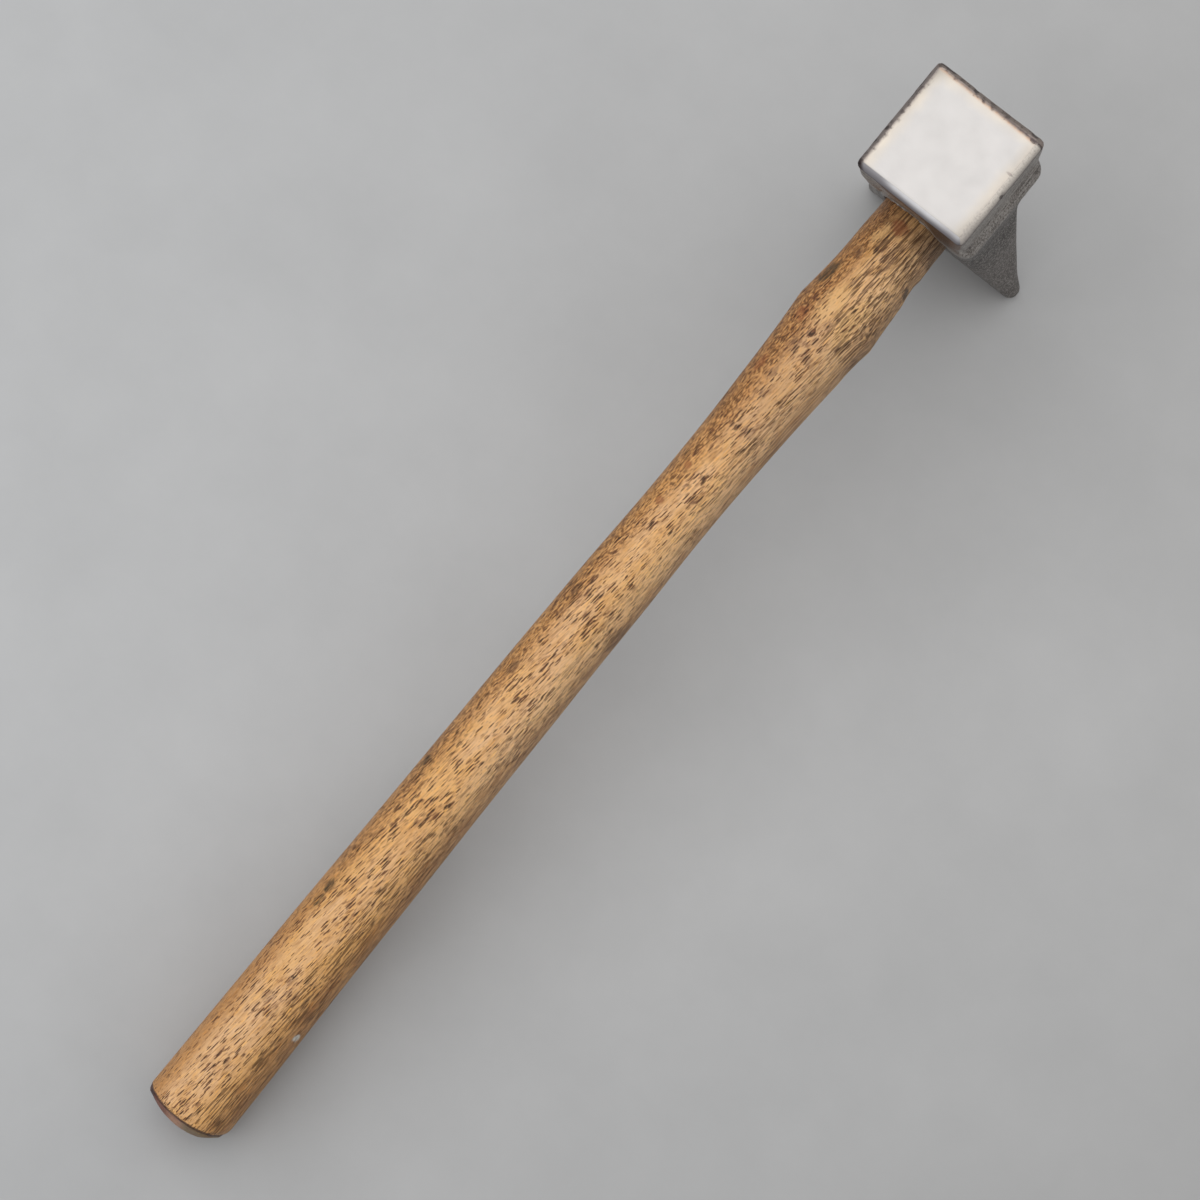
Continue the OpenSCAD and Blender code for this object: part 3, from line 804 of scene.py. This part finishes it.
@dataclass
class Head:
    """The forged head, with its nicked rim and hand-ground sides. Sizes are in millimetres."""

    grain: float = 0.55
    waviness: float = 0.11
    nick_depth: float = 0.22
    block_shift: float = 0.5
    near_draft: float = 0.9
    corner_round: float = 0.2
    corner_in: float = 2.4
    finish: HeadSteel = HeadSteel()

    def nicks(self) -> list[Spot]:
        """The nicks in the rim of the face, along its far and its left edge."""
        return [
            Spot((-13.6, 17.0, -0.8), (2.4, 0.6, 1.2)),
            Spot((-4.7, 16.7, -0.8), (0.8, 0.8, 1.2)),
            Spot((13.4, 16.9, -0.8), (1.0, 0.7, 1.2)),
            Spot((-16.6, 9.9, -0.6), (0.4, 1.6, 1.2)),
            Spot((-16.6, 6.1, -0.6), (0.35, 1.0, 1.2)),
            Spot((-16.3, -4.1, -0.5), (0.5, 0.9, 1.2)),
            Spot((-16.5, -8.1, -0.5), (0.4, 1.1, 1.2)),
            Spot((-16.2, -15.6, -0.5), (0.9, 0.9, 1.2)),
            Spot((16.6, -0.1, -0.9), (0.5, 0.8, 1.2)),
        ]

    def wear(self, place: Vector, normal: Vector) -> Vector:
        """How a point of the steel moves from where the solid has it.

        Args:
            place: The point, in the tool's axes.
            normal: The surface's normal there.

        Returns:
            The move, in millimetres.
        """
        wave = noise.noise(place * 0.09) * self.waviness
        dimple = noise.noise(place * 0.45) * self.waviness * 0.35
        on_face = fade(normal.z, 0.9, 0.99)
        nick = 0.0
        if place.z > -3.0:
            for mark in self.nicks():
                away = Vector([(place[i] - mark.centre[i]) / mark.size[i] for i in range(3)]).length
                nick = max(nick, fade(away, 1.4, 0.5))
        above_eye = fade(place.z, -46.0, -34.0)
        middle = fade(place.x, 9.0, 3.0) * fade(place.x, -14.0, -9.0) * fade(place.y, -12.0, -15.0)
        draft = self.near_draft * middle * fade(place.z, -2.5, -9.0) * above_eye
        corner = fade(-place.x - place.y, 23.5, 30.0) * above_eye
        rounded = self.corner_round * fade(place.z, -1.0, -3.0)
        low = fade(place.z, -13.0, -18.0) + 0.5 * fade(place.z, -24.0, -36.0)
        in_x = corner * (rounded + self.corner_in * low)
        in_y = corner * (rounded + self.corner_in * 1.5 * fade(place.z, -18.0, -34.0))
        worn_in = (wave + dimple) * (1 - on_face) + 0.12 + self.nick_depth * nick + draft
        shift = self.block_shift * fade(place.z, -24.0, -10.0)
        return Vector((in_x, in_y + shift, 0.0)) - normal * worn_in

    def build(self, axes: ToolAxes, nodes: dict[str, bpy.types.Object]) -> bpy.types.Object:
        """Makes the head's skin in place of its solid.

        Args:
            axes: The tool's axes.
            nodes: The CAD nodes by name.

        Returns:
            The head.
        """
        skin = fine_skin(nodes["head"], "forged_head", self.grain * MM)
        carve(skin, axes, self.wear)
        skin.data.materials.clear()
        skin.data.materials.append(self.finish.make(axes, self.nicks()))
        for face in skin.data.polygons:
            face.use_smooth = True
        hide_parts("head")
        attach(skin, "root")
        return skin


@dataclass
class Handle:
    """The hardwood handle, furrowed near the head and chipped on one flank. Sizes are in millimetres."""

    grain: float = 0.6
    furrow_depth: float = 0.3
    furrow_from: float = -60.0
    furrow_to: float = -46.0
    notch_from: float = -22.5
    notch_low: float = -26.5
    notch_to: float = -32.0
    notch_depth: float = 0.4
    notch_height: float = -36.5
    corner_from: float = -299.5
    corner_depth: float = 2.2
    end_growth: float = 0.9
    lean_right: float = 0.3
    shave: float = 0.2
    shave_at: float = -51.0
    swell: float = 0.22
    swell_at: float = -99.0
    finish: HandleWood = HandleWood()

    def stains(self) -> dict[StainOrShadow, list[Spot]]:
        """The stains that show on the handle, and a painted shadow in its chip, each kind from the head to the butt.
        """
        return {
            StainOrShadow.PALE: [
                Spot((-1.9, -43.5, -21.6), (2.6, 6.5, 3)),
                Spot((-3.6, -22.0, -22.6), (1.3, 3.5, 3)),
                Spot((4.8, -45.0, -23.6), (2.6, 7.0, 4)),
            ],
            StainOrShadow.INK: [
                Spot((-1.3, -52.6, -21.8), (1.0, 1.3, 3)),
                Spot((1.2, -48.8, -21.4), (1.2, 1.4, 3)),
                Spot((-3.0, -58.0, -22.4), (1.4, 2.6, 3)),
                Spot((3.4, -58.8, -22.9), (2.4, 1.3, 3)),
                Spot((-2.4, -66.3, -22.9), (1.0, 1.6, 3)),
                Spot((-0.7, -72.0, -23.1), (1.0, 2.2, 3)),
                Spot((2.6, -82.0, -24.0), (1.9, 1.5, 3)),
                Spot((-0.6, -82.5, -23.6), (0.9, 1.2, 3)),
                Spot((2.7, -103.4, -24.5), (0.7, 2.0, 3)),
                Spot((-5.6, -146.0, -24.0), (0.7, 2.2, 3)),
                Spot((0.6, -152.0, -22.5), (1.1, 0.6, 3)),
                Spot((1.6, -259.0, -21.2), (1.2, 1.6, 3)),
                Spot((3.6, -262.5, -21.8), (1.6, 2.2, 3)),
                Spot((2.0, -268.0, -21.1), (1.4, 2.0, 3)),
                Spot((-0.6, -266.0, -21.1), (1.8, 1.6, 3)),
                Spot((2.4, -285.2, -21.0), (1.0, 1.2, 3)),
                Spot((0.2, -299.5, -20.8), (1.3, 0.8, 3)),
            ],
            StainOrShadow.OLIVE: [
                Spot((-8.0, -37.6, -25.0), (1.8, 3.4, 4)),
                Spot((-8.2, -196.4, -26.3), (0.9, 2.0, 3)),
                Spot((-6.6, -235.2, -23.3), (1.2, 2.2, 3)),
                Spot((-6.6, -239.8, -23.3), (1.0, 2.0, 3)),
            ],
            # Painted shadow in the chip on the right flank.
            StainOrShadow.GAP: [
                Spot((10.3, -28.6, -33.0), (1.3, 1.9, 4.6)),
            ],
            StainOrShadow.BROWN: [
                Spot((-0.9, -36.4, -21.6), (0.5, 3.6, 3)),
                Spot((0.4, -31.9, -21.8), (0.45, 2.4, 3)),
                Spot((2.6, -36.0, -22.0), (0.4, 2.6, 3)),
                Spot((-1.2, -24.4, -22.2), (1.3, 2.6, 3)),
                Spot((2.4, -26.0, -22.2), (1.4, 5.0, 3)),
                Spot((-5.4, -29.2, -23.1), (1.2, 2.2, 3)),
                Spot((8.7, -142.0, -32.0), (1.3, 5.6, 5)),
                Spot((-6.2, -139.4, -24.8), (0.8, 2.0, 3)),
                Spot((9.6, -264.6, -30.0), (0.8, 2.6, 2)),
                Spot((-5.9, -164.4, -23.7), (0.9, 2.4, 3)),
            ],
            StainOrShadow.RUST: [
                Spot((-0.7, -18.2, -22.3), (2.4, 2.0, 3)),
                Spot((-6.4, -50.0, -24.0), (1.8, 2.4, 3)),
                Spot((-4.3, -97.6, -24.7), (1.1, 1.0, 3)),
                Spot((-4.2, -108.9, -24.5), (1.1, 1.2, 3)),
                Spot((-6.8, -66.0, -25.0), (1.0, 2.6, 3)),
            ],
            StainOrShadow.CHALK: [
                Spot((10.1, -270.2, -30.6), (1.5, 1.1, 2.2)),
            ],
        }

    def wear(self, place: Vector, normal: Vector) -> Vector:
        """How a point of the wood moves from where the solid has it.

        Args:
            place: The point, in the tool's axes.
            normal: The surface's normal there.

        Returns:
            The move, in millimetres.
        """
        along = Vector((place.x * 0.55, place.y * 0.03, place.z * 0.55))
        furrow = max(0.0, noise.noise(along)) * self.furrow_depth
        furrow *= 0.25 + 0.75 * fade(place.y, self.furrow_from, self.furrow_to)
        wave = noise.noise(Vector((place.x * 0.08, place.y * 0.03, place.z * 0.08))) * 0.18
        outside = fade(place.y, -17.5, -20.0)
        right = fade(place.x, 5.0, 8.5) * fade(abs(place.z - self.notch_height), 7.0, 4.0)
        if place.y > self.notch_low:
            notch = fade(place.y, self.notch_from, self.notch_low + 1.0)
        else:
            notch = fade(place.y, self.notch_to, self.notch_low)
        corner = fade((place.x - 5.0) / 6.0 + (self.corner_from - place.y) / 6.5, 0.9, 1.9)
        growth = self.end_growth * fade(-normal.y, 0.3, 0.9) * fade(place.y, -290.0, -300.0)
        swell = -self.swell * fade(abs(place.y - self.swell_at), 50.0, 25.0)
        worn_in = wave + furrow + swell + self.notch_depth * right * notch + self.corner_depth * corner
        sideways = self.lean_right * fade(place.y, -20.0, -34.0) * (1.0 - 0.4 * fade(place.y, -55.0, -75.0))
        sideways -= self.shave * fade(abs(place.y - self.shave_at), 6.0, 2.0) * fade(place.x, 2.0, 8.0)
        return Vector((sideways * outside, -growth, 0.0)) - normal * (0.08 * (1 - outside) + worn_in * outside)

    def build(self, axes: ToolAxes, nodes: dict[str, bpy.types.Object]) -> bpy.types.Object:
        """Makes the handle's skin in place of its solid.

        Args:
            axes: The tool's axes.
            nodes: The CAD nodes by name.

        Returns:
            The handle.
        """
        skin = fine_skin(nodes["handle"], "worn_handle", self.grain * MM)
        carve(skin, axes, self.wear)
        skin.data.materials.clear()
        skin.data.materials.append(self.finish.make(axes, self.stains()))
        for face in skin.data.polygons:
            face.use_smooth = True
        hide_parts("handle")
        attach(skin, "root")
        return skin


@dataclass
class Wedges:
    """The wooden wedge and the steel wedge, which keep their solids."""

    def build(self, axes: ToolAxes, nodes: dict[str, bpy.types.Object]) -> list[bpy.types.Object]:
        """Dresses both wedges.

        Args:
            axes: The tool's axes.
            nodes: The CAD nodes by name.

        Returns:
            The two wedges.
        """
        finishes = {"wooden_wedge": WedgeWood(), "steel_wedge": WedgeSteel()}
        for name, finish in finishes.items():
            nodes[name].data.materials.clear()
            nodes[name].data.materials.append(finish.make(axes))
        return [nodes[name] for name in finishes]


class Light(Enum):
    """The studio's two soft lamps: place, size and power."""

    KEY = ("key", (-0.92, -0.60, 2.25), 3.6, 47.5)
    FILL = ("fill", (0.73, 0.87, 2.23), 3.2, 23.0)


@dataclass(frozen=True)
class Studio:
    """A pale floor with a painted falloff of light, soft light and the camera. Sizes are in metres."""

    floor_half: float = 6.0
    # Painted falloff of light on the floor: lighter on the left, darker on the right and towards the bottom.
    floor_left: Colour = from_screen(184, 185, 186)
    floor_right: Colour = from_screen(175, 175, 175)
    floor_fade: float = 0.16
    floor_slope: tuple = (0.770, 0.637, 0.0)
    low_slope: tuple = (0.626, -0.742, 0.0)
    low_from: float = 0.02
    low_to: float = 0.14
    low_shade: float = 0.89
    surround: float = 0.32
    eye: tuple = (0.12581, -0.20271, 1.02248)
    turn_deg: tuple = (13.972, -2.1555, 39.630)
    lens_mm: float = 120.0

    def build(self) -> None:
        """Makes the floor, the lamps, the surroundings and the camera."""
        deselect()
        bpy.ops.mesh.primitive_plane_add(size=2 * self.floor_half)
        floor = bpy.context.view_layer.objects.active
        floor.name = "floor"
        material = bpy.data.materials.new("floor")
        material.use_nodes = True
        tree = material.node_tree
        shader = tree.nodes["Principled BSDF"]
        # The floor's colour is a painted falloff of light: it grades from left to right and darkens towards the
        # bottom, under faint clouds.
        place = tree.nodes.new("ShaderNodeTexCoord").outputs["Object"]
        slope = tree.nodes.new("ShaderNodeVectorMath")
        slope.operation = "DOT_PRODUCT"
        slope.inputs[1].default_value = self.floor_slope
        across = tree.nodes.new("ShaderNodeMapRange")
        across.inputs["From Min"].default_value = -self.floor_fade
        across.inputs["From Max"].default_value = self.floor_fade
        fall = tree.nodes.new("ShaderNodeVectorMath")
        fall.operation = "DOT_PRODUCT"
        fall.inputs[1].default_value = self.low_slope
        lower = tree.nodes.new("ShaderNodeMapRange")
        lower.inputs["From Min"].default_value = self.low_from
        lower.inputs["From Max"].default_value = self.low_to
        lower.inputs["To Min"].default_value = 1.0
        lower.inputs["To Max"].default_value = self.low_shade
        level = tree.nodes.new("ShaderNodeMath")
        level.operation = "MULTIPLY"
        shades = tree.nodes.new("ShaderNodeMix")
        shades.data_type = "RGBA"
        shades.inputs[6].default_value = (*self.floor_left, 1)
        shades.inputs[7].default_value = (*self.floor_right, 1)
        cloud = tree.nodes.new("ShaderNodeTexNoise")
        cloud.inputs["Scale"].default_value = 20.0
        cloud.inputs["Detail"].default_value = 8.0
        cloud.inputs["Roughness"].default_value = 0.65
        faint = tree.nodes.new("ShaderNodeMapRange")
        faint.inputs["From Min"].default_value = 0.3
        faint.inputs["From Max"].default_value = 0.7
        faint.inputs["To Min"].default_value = 0.96
        faint.inputs["To Max"].default_value = 1.04
        tint = tree.nodes.new("ShaderNodeVectorMath")
        tint.operation = "SCALE"
        tree.links.new(place, slope.inputs[0])
        tree.links.new(slope.outputs["Value"], across.inputs["Value"])
        tree.links.new(across.outputs["Result"], shades.inputs[0])
        tree.links.new(place, cloud.inputs["Vector"])
        tree.links.new(cloud.outputs["Fac"], faint.inputs["Value"])
        tree.links.new(shades.outputs[2], tint.inputs[0])
        tree.links.new(place, fall.inputs[0])
        tree.links.new(fall.outputs["Value"], lower.inputs["Value"])
        tree.links.new(faint.outputs["Result"], level.inputs[0])
        tree.links.new(lower.outputs["Result"], level.inputs[1])
        tree.links.new(level.outputs[0], tint.inputs["Scale"])
        tree.links.new(tint.outputs[0], shader.inputs["Base Color"])
        shader.inputs["Roughness"].default_value = 0.9
        shader.inputs["Specular IOR Level"].default_value = 0.1
        floor.data.materials.append(material)
        for light in Light:
            name, place, size, power = light.value
            lamp = bpy.data.lights.new(name, "AREA")
            lamp.shape = "DISK"
            lamp.size = size
            lamp.energy = power
            holder = bpy.data.objects.new(name, lamp)
            bpy.context.scene.collection.objects.link(holder)
            holder.location = place
            holder.rotation_euler = (-Vector(place)).to_track_quat("-Z", "Y").to_euler()
        world = bpy.data.worlds.new("surround")
        bpy.context.scene.world = world
        world.use_nodes = True
        back = world.node_tree.nodes["Background"]
        back.inputs["Color"].default_value = (1, 1, 1, 1)
        back.inputs["Strength"].default_value = self.surround
        camera = bpy.data.objects.new("camera", bpy.data.cameras.new("camera"))
        bpy.context.scene.collection.objects.link(camera)
        camera.data.lens = self.lens_mm
        camera.data.sensor_width = 36.0
        camera.location = self.eye
        camera.rotation_euler = [math.radians(turn) for turn in self.turn_deg]
        bpy.context.scene.camera = camera


def main() -> None:
    """Builds the hammer, then the studio round it."""
    logging.basicConfig(level=logging.INFO, format="%(name)s: %(message)s")
    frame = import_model()
    nodes = frame["nodes"]
    axes = ToolAxes.from_record(frame["record"])
    for maker in (Head(), Handle(), Wedges()):
        made = maker.build(axes, nodes)
        for piece in made if isinstance(made, list) else [made]:
            log.info("%s: %d faces", piece.name, len(piece.data.polygons))
    Studio().build()
    bpy.context.scene.view_settings.view_transform = "Standard"


if __name__ == "__main__":
    main()
